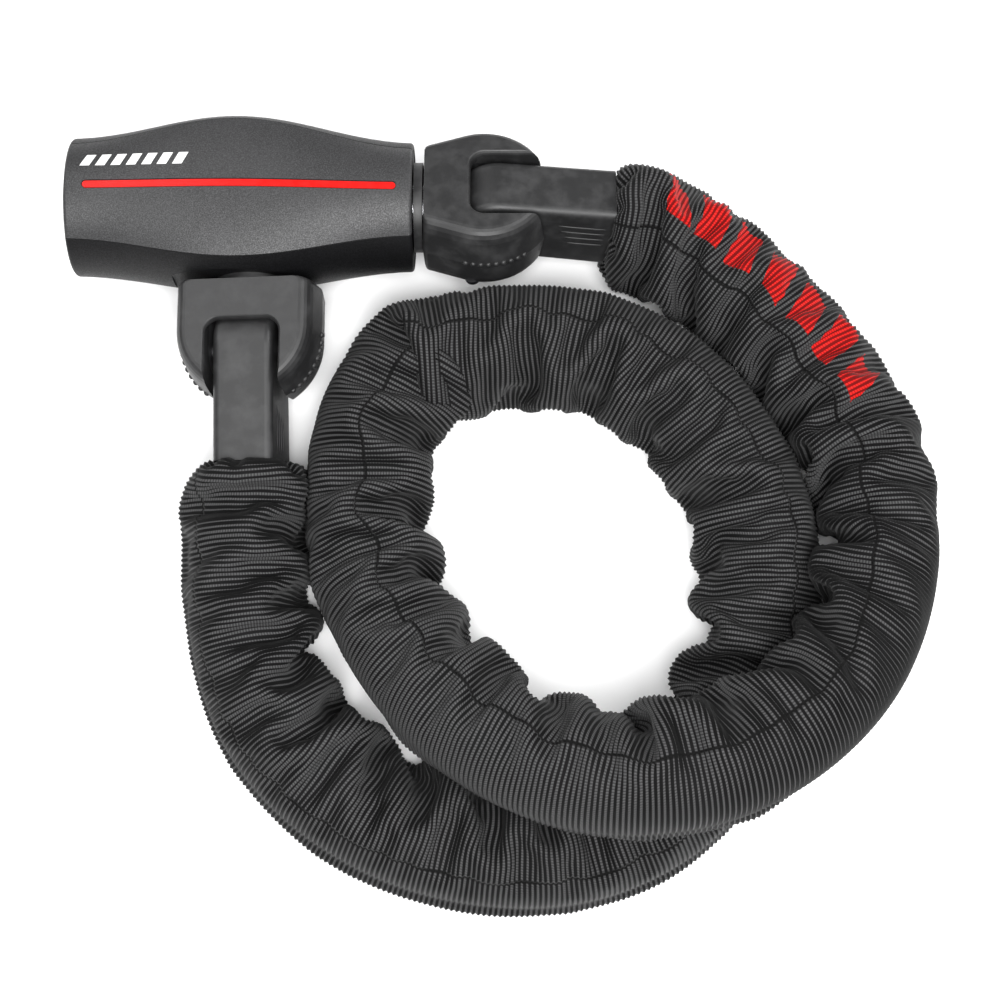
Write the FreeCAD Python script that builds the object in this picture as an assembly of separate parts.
import FreeCAD, Part
import math
import os
from FreeCAD import Vector

# Chain lock: a barrel-shaped lock head with a sleeved steel chain. One end of the chain hangs on
# a swivel cap fixed to the head's flank, the other on a swivel cap that carries the locking bolt.
# Millimetres, +Z up. The lock lies on its back on the plane Z = 0, the bolt runs along +X and the
# fixed cap points to -Y. Lengths below are measured from the head's centre; HEAD_AT then moves
# every piece so that the origin is the bottom centre of the head and its two caps.

# ---- driving dimensions ----
HEAD_AT = Vector(-42.0, 38.2, 0.0)   # the head's centre in the part's frame
AXIS_Z = 25.0                        # height of the head's axis above the floor

HEAD_LEFT = -59.0                    # key end
HEAD_RIGHT = 58.5                    # bolt end
BUMP_X = -1.0                        # where the barrel is widest
BUMP_REACH = 60.0                    # how far the swelling reaches each way
COVER_SCALE = 0.905                  # inner skin of the covers, as a share of the outer one
PLATE_SCALE = 0.900                  # end plates, just inside the covers
CREASE_GROOVE = 0.3                  # step between front and rear cover

STRIP_HALF = 1.2                     # half width of the coloured strip
STRIP_LEFT, STRIP_RIGHT = -52.5, 53.0
STRIP_DEPTH_SCALE = 0.965            # floor of the strip's groove, as a share of the skin

CORE_R = 17.4                        # hardened lock body
CORE_LEFT, CORE_RIGHT = -55.7, 55.2
HOUSING_R, PLUG_R, SHAFT_R = 11.0, 7.95, 3.0
RUN = 0.05                           # radial running clearance
FREE = 0.3                           # clearance between bodies that only pass each other

BOLT_R = 7.95
BOLT_TIP, BOLT_GROOVE = 24.5, (29.5, 35.8)
BOLT_GROOVE_R = 5.2
LATCH_DROP = 2.6                     # latch travel over a quarter turn of the key

STUD_X = 3.0                         # swivel axis of the fixed cap, along -Y
STUD_R = 6.95
STUD_END = 6.0                       # inner end of the stud, from the head's axis

CAP_BEVEL = ((0.0, 0.0), (9.8, 1.2), (12.0, 1.75), (13.5, 2.5), (14.4, 3.35), (14.85, 4.3),
             (15.0, 5.3))            # height, inset
CAP_CORNER = 2.2                     # rounding of the flat end's corners
NOTCH_LIP = ((15.2, 1.2), (14.75, 0.6), (14.1, 0.2), (13.3, 0.0))   # height, how far it flares
SEAT_Y = -27.4                       # floor of the recess in the head's flank that the cap sits in
SEAT_HALF = 26.6                     # half length of that recess
YOKE_HALF_WIDE, YOKE_INNER, YOKE_HALF_THICK = 16.3, 12.7, 8.8
PIN_R = 4.0
KNUCKLE_R = 13.6
NOTCH_HALF = 12.6                    # half width of the notch the boot swings in
BOOT_HALF_WIDE, BOOT_HALF_THICK = 10.3, 14.6
BOOT_DROOP = 8.0                     # degrees the end links sag at their pins
LINK_BAR, LINK_WIDE, LINK_LONG = 8.0, 25.0, 38.0
LINK_PITCH, LINK_PLAY = 21.5, 0.3
FACE_REACH = 200.0                   # the links untwist over this length from each cap

# Each cap: where its flat end sits, which way it points, its roll about that axis in degrees,
# half width of the flat end, disc centre and radius, start of the notch, pin and mouth of the boot.
FIXED_CAP = dict(at=Vector(STUD_X, -29.6, AXIS_Z), out=Vector(0, -1, 0), across=Vector(1, 0, 0),
                 roll=7.0, flat=24.7, disc=17.2, radius=24.7, notch=14.5, pin=21.7, mouth=60.7)
BOLT_CAP = dict(at=Vector(61.8, 0, AXIS_Z), out=Vector(1, 0, 0), across=Vector(0, 1, 0),
                roll=-17.0, flat=18.8, disc=21.0, radius=24.3, notch=16.4, pin=26.0, mouth=65.0)

# The sleeved chain, from the fixed cap's boot to the bolt cap's boot. It leaves the boots along
# their own direction, so the first two and last two points are worked out.
SLEEVE_R, SLEEVE_WALL = 18.0, 1.4
LAY = SLEEVE_R + 0.1                 # centre height of the sleeve on the floor
ROUTE = [
    (2, -124, LAY), (3, -150, LAY), (12, -177, LAY), (31, -199, LAY), (58, -214, LAY),
    (90, -221, LAY), (121, -218, LAY), (147, -204, LAY), (165, -181, LAY), (176, -152, LAY),
    (179, -121, LAY), (171, -90, LAY), (149, -61, LAY), (121, -46, LAY), (91, -45, LAY),
    (66, -50, LAY), (48, -64, LAY), (41, -86, LAY), (41, -111, LAY), (47, -136, 22),
    (60, -160, 30), (79, -181, 39), (105, -196, 48), (137, -201, 57), (167, -193, 57),
    (195, -172, 50), (212, -143, 38), (217.5, -111, 26), (212, -80, LAY), (196, -54, LAY),
    (178, -32, LAY), (159, -14.5, LAY),
]
SLEEVE_SPLIT = 5                     # the last runs that bend when the bolt is drawn

X, Y, Z = Vector(1, 0, 0), Vector(0, 1, 0), Vector(0, 0, 1)


# ---- small shape helpers ----
def box(x, y, z):
    """A box from three (low, high) pairs."""
    return Part.makeBox(x[1] - x[0], y[1] - y[0], z[1] - z[0], Vector(x[0], y[0], z[0]))


def rod(radius, start, end):
    """A cylinder from one point to another."""
    start, end = Vector(*start), Vector(*end)
    return Part.makeCylinder(radius, (end - start).Length, start, end - start)


def rod_x(radius, low, high, y=0.0, z=0.0):
    return rod(radius, (low, y, z), (high, y, z))


def ring_x(outer, inner, low, high):
    return rod_x(outer, low, high).cut(rod_x(inner, low - 1, high + 1))


def rounded_box(x, y, z, radius, axis):
    """A box whose edges along one axis are rounded."""
    solid = box(x, y, z)
    edges = [e for e in solid.Edges if abs(e.tangentAt(e.FirstParameter).dot(axis)) > 0.99]
    return solid.makeFillet(radius, edges)


# ---- the head's skin ----
def bump(x):
    """How much of the barrel's swelling is there at x: 1 at its widest, 0 at the ends."""
    return 0.5 * (1 + math.cos(math.pi * min(abs(x - BUMP_X) / BUMP_REACH, 1.0)))


def along(x, left, right, swell):
    """A size that runs evenly from one end of the head to the other and swells between."""
    share = (x - HEAD_LEFT) / (HEAD_RIGHT - HEAD_LEFT)
    return left + (right - left) * share + swell * bump(x)


def crease_width(x):
    return along(x, 16.9, 15.6, 8.2)


def crease_height(x):
    return along(x, 16.9, 16.0, 5.0)


def head_section(x, scale):
    """The head's outline at x: crowned front, two flanks and a flat back."""
    crease = (crease_width(x) * scale, crease_height(x) * scale)
    front = along(x, 23.7, 22.2, 2.4) * scale
    flank = along(x, 23.7, 22.1, 7.2) * scale
    back = (along(x, 11.0, 10.0, 3.0) * scale, -along(x, 21.6, 20.2, 4.6) * scale)

    def at(y, z):
        return Vector(x, y, AXIS_Z + z)

    def side(sign):
        return Part.Arc(at(sign * crease[0], crease[1]), at(sign * flank, 1.5),
                        at(sign * back[0], back[1])).toShape()

    top = Part.Arc(at(-crease[0], crease[1]), at(0, front), at(crease[0], crease[1])).toShape()
    bottom = Part.LineSegment(at(back[0], back[1]), at(-back[0], back[1])).toShape()
    return Part.Wire([top, side(1), bottom, side(-1)])


def head_loft(scale, low=HEAD_LEFT, high=HEAD_RIGHT):
    """The head's barrel between two stations."""
    count = max(2, round((high - low) / 10))
    stations = [low + (high - low) * i / count for i in range(count + 1)]
    return Part.makeLoft([head_section(x, scale) for x in stations], True)


def above_crease(lift):
    """Everything in front of the parting line, raised by lift."""
    count = 12
    xs = [HEAD_LEFT - 2 + (HEAD_RIGHT - HEAD_LEFT + 4) * i / count for i in range(count + 1)]
    line = Part.BSplineCurve()
    line.interpolate([Vector(x, -45, AXIS_Z + crease_height(x) + lift) for x in xs])
    low = line.toShape()
    start, end = line.StartPoint, line.EndPoint
    top = 70.0
    rest = Part.makePolygon([end, Vector(end.x, -45, top), Vector(start.x, -45, top), start])
    return Part.Face(Part.Wire([low] + rest.Edges)).extrude(Vector(0, 90, 0))


def strip_slot(half, left, right):
    """A long slot with round ends, seen from the front."""
    low, tall = AXIS_Z + 15, 15.0
    slot = box((left + half, right - half), (-half, half), (low, low + tall))
    for x in (left + half, right - half):
        slot = slot.fuse(rod(half, (x, 0, low), (x, 0, low + tall)))
    return slot


def head_covers():
    """Front cover, rear cover, the strip between its dark edges, and the two end plates."""
    skin = head_loft(1.0)
    rims = [e for e in skin.Edges
            if e.BoundBox.XLength < 0.01 and e.BoundBox.ZMax > AXIS_Z - 15]
    skin = skin.makeFillet(1.2, rims)
    skin = skin.common(box((-80, 80), (-50, 50), (0, 80)))
    hollow = head_loft(COVER_SCALE, HEAD_LEFT - 1, HEAD_RIGHT + 1)
    wall = skin.cut(hollow)
    layer = skin.cut(head_loft(STRIP_DEPTH_SCALE, HEAD_LEFT - 1, HEAD_RIGHT + 1))
    groove = layer.common(strip_slot(STRIP_HALF + 0.3, STRIP_LEFT - 0.3, STRIP_RIGHT + 0.3))
    sunk = head_loft(0.992, HEAD_LEFT - 1, HEAD_RIGHT + 1)
    strip = groove.common(strip_slot(STRIP_HALF, STRIP_LEFT, STRIP_RIGHT)).common(sunk)
    front = wall.common(above_crease(0.0)).cut(groove)
    rear = wall.cut(above_crease(-CREASE_GROOVE))
    seat = box((STUD_X - SEAT_HALF, STUD_X + SEAT_HALF), (-45, SEAT_Y), (0, 60))
    seat_wall = box((STUD_X - SEAT_HALF - 3, STUD_X + SEAT_HALF + 3), (SEAT_Y, SEAT_Y + 3),
                    (AXIS_Z - 14, AXIS_Z + 16)).common(head_loft(0.93))
    stud_hole = rod(12.7, (STUD_X, -10, AXIS_Z), (STUD_X, -45, AXIS_Z))
    rear = rear.fuse(seat_wall).cut(seat).cut(stud_hole)
    for x, y in SCREW_PLACES:
        rear = rear.cut(rod(1.6, (x, y, -5), (x, y, AXIS_Z - 10)))
        rear = rear.cut(rod(3.0, (x, y, -5), (x, y, screw_seat(x))))
    key_plate = head_loft(PLATE_SCALE, HEAD_LEFT + 0.3, HEAD_LEFT + 3.2)
    key_plate = key_plate.cut(rod_x(HOUSING_R + 0.1, -70, 0, z=AXIS_Z))
    bolt_plate = head_loft(PLATE_SCALE, HEAD_RIGHT - 3.2, HEAD_RIGHT - 0.3)
    bolt_plate = bolt_plate.cut(rod_x(BOLT_R + FREE, 0, 80, z=AXIS_Z))
    return {"front_cover": front, "rear_cover": rear, "accent_strip": strip,
            "key_end_plate": key_plate, "bolt_end_plate": bolt_plate}


# ---- screws that hold the covers to the lock body ----
SCREW_PLACES = [(x, y) for x in (-44.0, 44.0) for y in (-6.5, 6.5)]
SCREW_TOP = AXIS_Z - 12.6


def screw_seat(x):
    """Height of a cover screw's seat in the rear cover, above the floor."""
    return AXIS_Z - along(x, 21.6, 20.2, 4.6) + 1.0


def cover_screws():
    screws = []
    for x, y in SCREW_PLACES:
        seat = screw_seat(x)
        head = rod(2.8, (x, y, seat - 0.9), (x, y, seat))
        drive = rod(1.1, (x, y, seat - 1), (x, y, seat - 0.2))
        screws.append(head.fuse(rod(1.5, (x, y, seat), (x, y, SCREW_TOP))).cut(drive))
    return Part.Compound(screws)


# ---- lock body and what it holds; drawn about the X axis, lifted to the head's axis ----
def lifted(shape):
    shape.translate(Vector(0, 0, AXIS_Z))
    return shape


POCKET_X = (16.5, 36.0)
PLATE_X = (17.0, 21.9)
POCKET_HALF = 8.6
ARM_LOW = BOLT_R + LATCH_DROP + 0.25     # the latch's arm stays above the bolt even when down
POCKET_FLOOR = ARM_LOW - LATCH_DROP - FREE
STUD_PIN_R = 1.5
STUD_GROOVE_R, STUD_GROOVE_Y = 5.4, 14.0


def lock_body():
    body = rod_x(CORE_R, CORE_LEFT, CORE_RIGHT)
    body = body.fuse(rod(12.0, (STUD_X, -8, 0), (STUD_X, SEAT_Y + 0.5, 0)))
    cuts = [
        rod_x(HOUSING_R + RUN, CORE_LEFT - 1, -12.5),
        rod_x(SHAFT_R + FREE, -13, POCKET_X[0] + 1),
        box(POCKET_X, (-POCKET_HALF, POCKET_HALF), (POCKET_FLOOR, 20)),
        box((POCKET_X[0], 22.5), (-POCKET_HALF, POCKET_HALF), (-11.2, 9)),
        box((30.2, 35.1), (-4.5, 4.5), (4.0, 9)),
        rod_x(BOLT_R + RUN, 24.0, CORE_RIGHT + 1),
        rod_x(10.5, 45.0, CORE_RIGHT + 1),
        rod(STUD_R + RUN, (STUD_X, -STUD_END + 0.4, 0), (STUD_X, -40, 0)),
        rod(1.5, (-35, 0, -20), (-35, 0, -9)),
    ]
    for x, y in SCREW_PLACES:
        cuts.append(rod(1.5, (x, y, -25), (x, y, SCREW_TOP - AXIS_Z)))
    for x in stud_pin_places():
        cuts.append(rod(STUD_PIN_R, (x, -STUD_GROOVE_Y, -10), (x, -STUD_GROOVE_Y, 10)))
    return lifted(body.cut(Part.Compound(cuts)))


def stud_pin_places():
    off = STUD_GROOVE_R + STUD_PIN_R + 0.1
    return (STUD_X - off, STUD_X + off)


def stud_pins():
    y = -STUD_GROOVE_Y
    return lifted(Part.Compound([rod(STUD_PIN_R, (x, y, -10), (x, y, 10))
                                 for x in stud_pin_places()]))


def latch_lid():
    slab = box((POCKET_X[0] + 0.1, POCKET_X[1] - 0.1), (-POCKET_HALF + 0.1, POCKET_HALF - 0.1),
               (14.6, 20))
    return lifted(slab.common(rod_x(CORE_R, 0, 40)))


def latch():
    """A plate with a window for the cam, and an arm whose finger drops into the bolt's groove."""
    plate = box(PLATE_X, (-8.2, 8.2), (-8.0, 14.0))
    window = box((16, 23), (-5.9, 5.9), (-3.4, 8.6))
    arm = box((PLATE_X[1] - 0.5, 34.8), (-4.2, 4.2), (ARM_LOW, 14.0))
    finger = box((30.5, 34.8), (-4.2, 4.2), (8.35, 11.5))
    return lifted(plate.cut(window).fuse([arm, finger]).removeSplitter())


def cam_shaft():
    """The shaft behind the key plug, with a long cam across its end."""
    shaft = rod_x(SHAFT_R, -18.0, 17.4)
    cam = rounded_box((17.4, 21.5), (-5.0, 5.0), (-2.5, 2.5), 2.4, X)
    return lifted(shaft.fuse(cam))


def cylinder_housing():
    housing = ring_x(HOUSING_R, PLUG_R + RUN, -57.6, -15.0)
    housing = housing.fuse(ring_x(HOUSING_R, SHAFT_R + FREE, -15.0, -12.8))
    return lifted(housing.cut(rod(1.5, (-35, 0, -20), (-35, 0, -9))))


def key_plug():
    plug = rod_x(PLUG_R, -58.2, -18.0)
    plug = plug.cut(rod_x(5.6, -54.5, -20.0))
    keyway = box((-60, -54), (-1.5, 1.5), (-4.4, 4.4))
    return lifted(plug.cut(keyway))


def wafer_discs():
    """Coded discs in a row inside the plug, each with a slot for the key."""
    discs = []
    for i in range(9):
        x = -54.0 + 3.7 * i
        disc = rod_x(5.5, x, x + 2.6)
        slot = box((x - 1, x + 4), (-1.5, 1.5), (-3.9, 3.9))
        slot.rotate(Vector(0, 0, 0), X, (i * 37) % 50 - 25)
        discs.append(disc.cut(slot))
    return lifted(Part.Compound(discs))


def locking_bolt():
    end = BOLT_CAP["at"].x
    bolt = rod_x(BOLT_R, BOLT_TIP, end + 9.1)
    tip = [e for e in bolt.Edges if e.BoundBox.XMax < BOLT_TIP + 0.1 and e.BoundBox.YLength > 10]
    bolt = bolt.makeChamfer(1.8, tip)
    bolt = bolt.fuse(rod_x(6.0, end + 9.1, end + 11.6))
    bolt = bolt.cut(ring_x(7.0, 5.0, end + 9.4, end + 10.6))
    return lifted(bolt.cut(ring_x(BOLT_R + 1, BOLT_GROOVE_R, *BOLT_GROOVE)))


def head_nodes():
    nodes = head_covers()
    end = BOLT_CAP["at"].x
    nodes.update({
        "cover_screws": cover_screws(),
        "lock_body": lock_body(),
        "latch_lid": latch_lid(),
        "stud_pins": stud_pins(),
        "cylinder_housing": cylinder_housing(),
        "housing_screw": lifted(rod(1.5, (-35, 0, -17), (-35, 0, -9.2))),
        "bolt_bush": lifted(ring_x(10.5, BOLT_R + RUN, 45.1, CORE_RIGHT)),
        "key_plug": key_plug(),
        "wafer_discs": wafer_discs(),
        "cam_shaft": cam_shaft(),
        "latch": latch(),
        "locking_bolt": locking_bolt(),
        "bolt_clip": lifted(ring_x(9.5, 5.0, end + 9.45, end + 10.55)),
        "bolt_collar": lifted(ring_x(15.5, BOLT_R, HEAD_RIGHT + FREE, end - 0.1)),
    })
    return nodes


# ---- the two end caps; drawn with X outwards, Y across and Z out of the front face ----
def corner_arc(before, corner, after, radius):
    """Three points of the arc that rounds a corner."""
    back, ahead = (before - corner).normalize(), (after - corner).normalize()
    half = back.getAngle(ahead) / 2
    reach = radius / math.tan(half)
    middle = (back + ahead).normalize()
    return (corner + back * reach, corner + middle * (radius / math.sin(half) - radius),
            corner + ahead * reach)


def cap_outline(cap, inset, z):
    """A flat end, two straight sides and a round nose, tangent to them."""
    half, centre, radius = cap["flat"] - inset, cap["disc"], cap["radius"] - inset
    start = min(0.3 * inset, 0.5)
    reach = math.hypot(centre - start, half)
    turn = math.atan2(half, start - centre) - math.acos(min(1.0, radius / reach))
    touch = (centre + radius * math.cos(turn), radius * math.sin(turn))
    points = [Vector(touch[0], -touch[1], z), Vector(start, -half, z), Vector(start, half, z),
              Vector(touch[0], touch[1], z)]
    low, high = corner_arc(*points[:3], CAP_CORNER), corner_arc(*points[1:], CAP_CORNER)
    edges = [Part.LineSegment(points[0], low[0]).toShape(), Part.Arc(*low).toShape(),
             Part.LineSegment(low[2], high[0]).toShape(), Part.Arc(*high).toShape(),
             Part.LineSegment(high[2], points[3]).toShape(),
             Part.Arc(points[3], Vector(centre + radius, 0, z), points[0]).toShape()]
    return Part.Wire(edges)


def cap_half(cap, sign):
    """Half of the cap's outer form, from its rim to one face, with a soft bevel."""
    form = None
    for (low, low_inset), (high, high_inset) in zip(CAP_BEVEL, CAP_BEVEL[1:]):
        wires = [cap_outline(cap, low_inset, sign * low), cap_outline(cap, high_inset, sign * high)]
        slab = Part.makeLoft(wires, True, True)
        form = slab if form is None else form.fuse(slab)
    return form.removeSplitter()


def yoke_form(cap, grow):
    """The fork: a base, two arms with round ends; grow makes the room around it."""
    wide, thick, inner = YOKE_HALF_WIDE + grow, YOKE_HALF_THICK + grow, YOKE_INNER - grow
    deep = cap["pin"] - KNUCKLE_R - 1.4
    base = box((1.5 - grow, deep), (-wide, wide), (-thick, thick))
    form = base
    for side in (-1, 1):
        low, high = sorted((side * inner, side * wide))
        form = form.fuse(box((1.5 - grow, cap["pin"]), (low, high), (-thick, thick)))
        form = form.fuse(rod(thick, (cap["pin"], low, 0), (cap["pin"], high, 0)))
    return form.removeSplitter()


def pin_hole(cap, radius, half):
    return rod(radius, (cap["pin"], -half, 0), (cap["pin"], half, 0))


def cap_screws_at(cap):
    """Two screws beside the fork, near the widest part of the disc."""
    return [(cap["disc"] - 4.0, side * 20.3) for side in (-1, 1)]


def notch_outline(cap, flare, z):
    """The notch's outline at a height, wider by flare."""
    near, far, half, radius = cap["notch"] - flare, 90, NOTCH_HALF + flare, 5.0 + flare
    points = [Vector(far, -half, z), Vector(near, -half, z), Vector(near, half, z), Vector(far, half, z)]
    low, high = corner_arc(*points[:3], radius), corner_arc(*points[1:], radius)
    edges = [Part.LineSegment(points[0], low[0]).toShape(), Part.Arc(*low).toShape(),
             Part.LineSegment(low[2], high[0]).toShape(), Part.Arc(*high).toShape(),
             Part.LineSegment(high[2], points[3]).toShape(),
             Part.LineSegment(points[3], points[0]).toShape()]
    return Part.Wire(edges)


def cap_shell(cap, sign, neck):
    """One moulded half: bevelled outside, notched for the boot, hollow for the fork."""
    form = cap_half(cap, sign)
    notch = rounded_box((cap["notch"], 90), (-NOTCH_HALF, NOTCH_HALF), (-30, 30), 5.0, Z)
    knuckle_room = pin_hole(cap, KNUCKLE_R + 0.7, NOTCH_HALF)
    room = [notch, yoke_form(cap, 0.15), knuckle_room, neck]
    for x, y in cap_screws_at(cap):
        low, high = (-20, 0) if sign < 0 else (0, 9)
        room.append(rod(1.3, (x, y, low), (x, y, high)))
        if sign < 0:
            room.append(rod(2.7, (x, y, -20), (x, y, -12.2)))
    for (high, high_flare), (low, low_flare) in zip(NOTCH_LIP, NOTCH_LIP[1:]):
        wires = [notch_outline(cap, high_flare, sign * high), notch_outline(cap, low_flare, sign * low)]
        room.append(Part.makeLoft(wires, True, True))
    return form.cut(Part.Compound(room))


def boot_turn(cap, shape):
    """Sags a piece about the cap's pin."""
    shape.rotate(Vector(cap["pin"], 0, 0), Y, BOOT_DROOP)
    return shape


def boot(cap):
    """The moulded finger around the end link: a round knuckle and a long flat-sided tube."""
    pin, mouth = cap["pin"], cap["mouth"]
    tall, thick = BOOT_HALF_THICK, KNUCKLE_R
    wide = BOOT_HALF_WIDE

    def at(x, z):
        return Vector(x, -wide, z)

    lines = [Part.LineSegment(at(pin, -thick), at(mouth, -tall)).toShape(),
             Part.LineSegment(at(mouth, -tall), at(mouth, tall)).toShape(),
             Part.LineSegment(at(mouth, tall), at(pin, thick)).toShape(),
             Part.Arc(at(pin, thick), at(pin - thick, 0), at(pin, -thick)).toShape()]
    form = Part.Face(Part.Wire(lines)).extrude(Vector(0, 2 * wide, 0))
    edges = [e for e in form.Edges if e.BoundBox.YLength < 0.01 and e.BoundBox.XLength > 5]
    form = form.makeFillet(2.6, edges)
    slot = box((pin, mouth + 1), (-LINK_BAR / 2 - 0.3, LINK_BAR / 2 + 0.3), (-12.8, 12.8))
    slot = slot.fuse(rod(12.8, (pin, -LINK_BAR / 2 - 0.3, 0), (pin, LINK_BAR / 2 + 0.3, 0)))
    form = form.cut(slot).cut(pin_hole(cap, PIN_R + 0.1, 30))
    return boot_turn(cap, form)


def chain_link(length, width, bar):
    """A round-bar link, centred, long along X and lying in the XY plane."""
    bend, straight = (width - bar) / 2, (length - width) / 2
    link = rod_x(bar / 2, -straight, straight, y=bend)
    link = link.fuse(rod_x(bar / 2, -straight, straight, y=-bend))
    for side in (-1, 1):
        ring = Part.makeTorus(bend, bar / 2, Vector(side * straight, 0, 0), Z)
        keep = box((0, 50), (-50, 50), (-50, 50)) if side > 0 else box((-50, 0), (-50, 50), (-50, 50))
        keep.translate(Vector(side * straight, 0, 0))
        link = link.fuse(ring.common(keep))
    return link.removeSplitter()


def end_link(cap):
    """The long link on the pin, which reaches just out of the boot."""
    near, far = cap["pin"] - PIN_R - LINK_BAR - 0.1, cap["mouth"] + 2 * (LINK_BAR + LINK_PLAY)
    link = chain_link(far - near, LINK_WIDE, LINK_BAR)
    link.rotate(Vector(0, 0, 0), X, 90)
    link.translate(Vector((near + far) / 2, 0, 0))
    return boot_turn(cap, link)


def cap_frame(cap):
    """The cap's own axes: outwards, across, and out of its front face."""
    out = cap["out"]
    across = FreeCAD.Rotation(out, cap["roll"]).multVec(cap["across"])
    return out, across, out.cross(across)


def cap_placed(cap, shape):
    out, across, face = cap_frame(cap)
    at = cap["at"]
    matrix = FreeCAD.Matrix(out.x, across.x, face.x, at.x, out.y, across.y, face.y, at.y,
                            out.z, across.z, face.z, at.z, 0, 0, 0, 1)
    shape.Placement = FreeCAD.Placement(matrix).multiply(shape.Placement)
    return shape


def cap_nodes(cap, name, neck_room):
    """Every piece of one cap but its stud or bolt."""
    screws = []
    for x, y in cap_screws_at(cap):
        head = rod(2.6, (x, y, -13.6), (x, y, -12.2)).cut(rod(1.0, (x, y, -14), (x, y, -12.8)))
        screws.append(head.fuse(rod(1.3, (x, y, -12.2), (x, y, 8.5))))
    yoke = yoke_form(cap, 0.0).cut(pin_hole(cap, PIN_R, 30))
    pieces = {
        "front_shell": cap_shell(cap, 1, neck_room),
        "rear_shell": cap_shell(cap, -1, neck_room),
        "shell_screws": Part.Compound(screws),
        "yoke": yoke,
        "pin": pin_hole(cap, PIN_R, YOKE_HALF_WIDE),
        "end_link": end_link(cap),
        "boot": boot(cap),
    }
    return {name + "_" + key: shape for key, shape in pieces.items()}


def all_cap_nodes():
    fixed = cap_nodes(FIXED_CAP, "fixed", rod_x(STUD_R, -2, 3))
    stud_end = -(-FIXED_CAP["at"].y - STUD_END)
    groove_x = -(-FIXED_CAP["at"].y - STUD_GROOVE_Y)
    stud = rod_x(STUD_R, stud_end, 2.0)
    stud = stud.cut(ring_x(STUD_R + 1, STUD_GROOVE_R, groove_x - 1.8, groove_x + 1.8))
    fixed["fixed_yoke"] = fixed["fixed_yoke"].fuse(stud).removeSplitter()
    fixed["fixed_washer"] = ring_x(12.3, STUD_R + 0.02, -2.4, -0.1)
    bolt_room = rod_x(BOLT_R + RUN, -2, 9.2).fuse(rod_x(10.0, 8.9, 16))
    bolt = cap_nodes(BOLT_CAP, "bolt_cap", bolt_room)
    bolt["bolt_cap_yoke"] = bolt["bolt_cap_yoke"].cut(bolt_room)
    nodes = {key: cap_placed(FIXED_CAP, shape) for key, shape in fixed.items()}
    nodes.update({key: cap_placed(BOLT_CAP, shape) for key, shape in bolt.items()})
    return nodes


# ---- sleeved chain ----
def mouth_of(cap):
    """Centre of the boot's mouth and the way it points."""
    out, across, face = cap_frame(cap)
    sag = math.radians(BOOT_DROOP)
    way = out * math.cos(sag) - face * math.sin(sag)
    return cap["at"] + out * cap["pin"] + way * (cap["mouth"] - cap["pin"]), way


def route():
    """The sleeve's points, from mouth to mouth."""
    points = [Vector(*p) for p in ROUTE]
    for cap, end in ((FIXED_CAP, 0), (BOLT_CAP, -1)):
        mouth, way = mouth_of(cap)
        down = (LAY - mouth.z) / way.z
        landing = mouth + way * down
        points = [mouth, landing] + points if end == 0 else points + [landing, mouth]
    return points


def rounded_path(points):
    """Straight runs joined by tangent arcs, each as large as its two runs allow."""
    edges, radii = [], []
    last = points[0]
    for before, corner, after in zip(points, points[1:], points[2:]):
        back, ahead = before - corner, after - corner
        short = 0.45 * min(back.Length, ahead.Length)
        back.normalize()
        ahead.normalize()
        turn = math.pi - back.getAngle(ahead)
        radius = short / math.tan(turn / 2)
        middle = back + ahead
        middle.normalize()
        start, end = corner + back * short, corner + ahead * short
        mid = corner + middle * (radius / math.cos(turn / 2) - radius)
        edges.append(Part.LineSegment(last, start).toShape())
        edges.append(Part.Arc(start, mid, end).toShape())
        radii.append(radius)
        last = end
    edges.append(Part.LineSegment(last, points[-1]).toShape())
    return edges, radii


def tube(edges):
    """A hollow tube of woven sleeve along a row of edges."""
    start, way = edges[0].valueAt(edges[0].FirstParameter), edges[0].tangentAt(edges[0].FirstParameter)
    path = Part.Wire(edges)
    solids = []
    for radius in (SLEEVE_R, SLEEVE_R - SLEEVE_WALL):
        ring = Part.Wire(Part.makeCircle(radius, start, way))
        solids.append(path.makePipeShell([ring], True, False))
    return solids[0].cut(solids[1])


def spread_links(edges):
    """Links along the path, every other one turned on edge."""
    path = Part.Wire(edges)
    inset = LINK_PLAY + LINK_LONG / 2
    total = path.Length
    count = 2 * int((total - 2 * inset) / LINK_PITCH / 2) + 1
    step = (total - 2 * inset) / (count - 1)
    reach = (LINK_LONG - LINK_BAR) / 2       # both bar ends of a link sit on the path
    links = []
    for i in range(count):
        middle = inset + i * step
        near, far = point_along(edges, middle - reach), point_along(edges, middle + reach)
        if i == 0:
            near = hooked_end(FIXED_CAP, far)
        elif i == count - 1:
            near, far = hooked_end(BOLT_CAP, near), near
        way = (far - near).normalize()
        here = near + way * reach
        side = link_face(middle, total).cross(way)
        side.normalize()
        if i % 2 == 1:
            side = way.cross(side)
        up = way.cross(side)
        link = chain_link(LINK_LONG, LINK_WIDE, LINK_BAR)
        matrix = FreeCAD.Matrix(way.x, side.x, up.x, here.x, way.y, side.y, up.y, here.y,
                                way.z, side.z, up.z, here.z, 0, 0, 0, 1)
        link.Placement = FreeCAD.Placement(matrix)
        links.append(link)
    print("chain links:", count, "every", round(step, 2), "mm")
    return Part.Compound(links)


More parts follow.
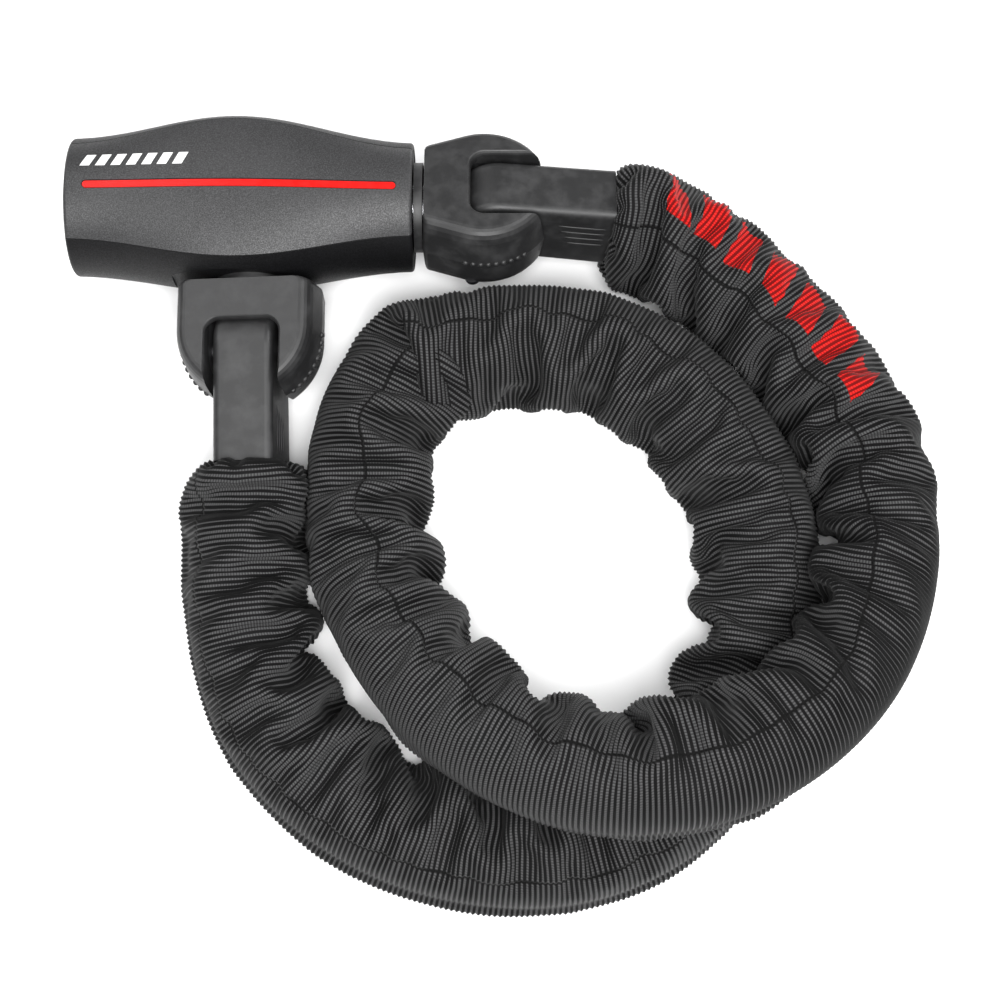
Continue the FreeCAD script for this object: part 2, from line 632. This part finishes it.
def hooked_end(cap, far):
    """Where the near bar of the chain link that hangs on a cap's end link sits."""
    mouth, way = mouth_of(cap)
    pivot = mouth + way * (1.5 * LINK_BAR + 2 * LINK_PLAY)
    upright = way.cross(cap_frame(cap)[1])
    level = (far - pivot) - upright * (far - pivot).dot(upright)
    return pivot - level.normalize() * (LINK_BAR + LINK_PLAY)


def link_face(distance, total):
    """The way a flat link faces: as the nearby cap does at each end, straight up between."""
    fixed_face, bolt_face = cap_frame(FIXED_CAP)[2], cap_frame(BOLT_CAP)[2]
    near_fixed = min(1.0, max(0.0, 1 - (distance - LINK_PITCH) / FACE_REACH))
    near_bolt = min(1.0, max(0.0, 1 - (total - distance - LINK_PITCH) / FACE_REACH))
    return Z + (fixed_face - Z) * near_fixed + (bolt_face - Z) * near_bolt


def point_along(edges, distance):
    """The point at a distance along a row of edges."""
    for edge in edges:
        if distance <= edge.Length:
            break
        distance -= edge.Length
    return edge.valueAt(edge.getParameterByLength(min(distance, edge.Length)))


def cord_nodes():
    points = route()
    edges, radii = rounded_path(points)
    split = 2 * (len(points) - 1 - SLEEVE_SPLIT)
    main, end = edges[:split], edges[split:]
    nodes = {"sleeve": tube(main), "sleeve_bolt_end": tube(end), "chain_links": spread_links(edges)}
    length = sum(e.Length for e in edges)
    section = math.pi * (SLEEVE_R ** 2 - (SLEEVE_R - SLEEVE_WALL) ** 2)
    volume = nodes["sleeve"].Volume + nodes["sleeve_bolt_end"].Volume
    print("sleeve length", round(length, 1), "bend radii", [round(r) for r in radii])
    print("sleeve volume over section times length", round(volume / (section * length), 4))
    return nodes


# ---- write every node ----
def main():
    nodes = head_nodes()
    nodes.update(all_cap_nodes())
    object_box = FreeCAD.BoundBox()
    for shape in nodes.values():
        object_box.add(shape.BoundBox)
    print("head and caps, centre", round(object_box.Center.x, 2), round(object_box.Center.y, 2),
          "lowest", round(object_box.ZMin, 3))
    nodes.update(cord_nodes())
    os.makedirs("parts", exist_ok=True)
    for name, shape in nodes.items():
        shape.translate(HEAD_AT)
        shape.exportStep("parts/" + name + ".step")
        print(name, "solids", len(shape.Solids), "volume", round(shape.Volume, 1), shape.isValid())


main()
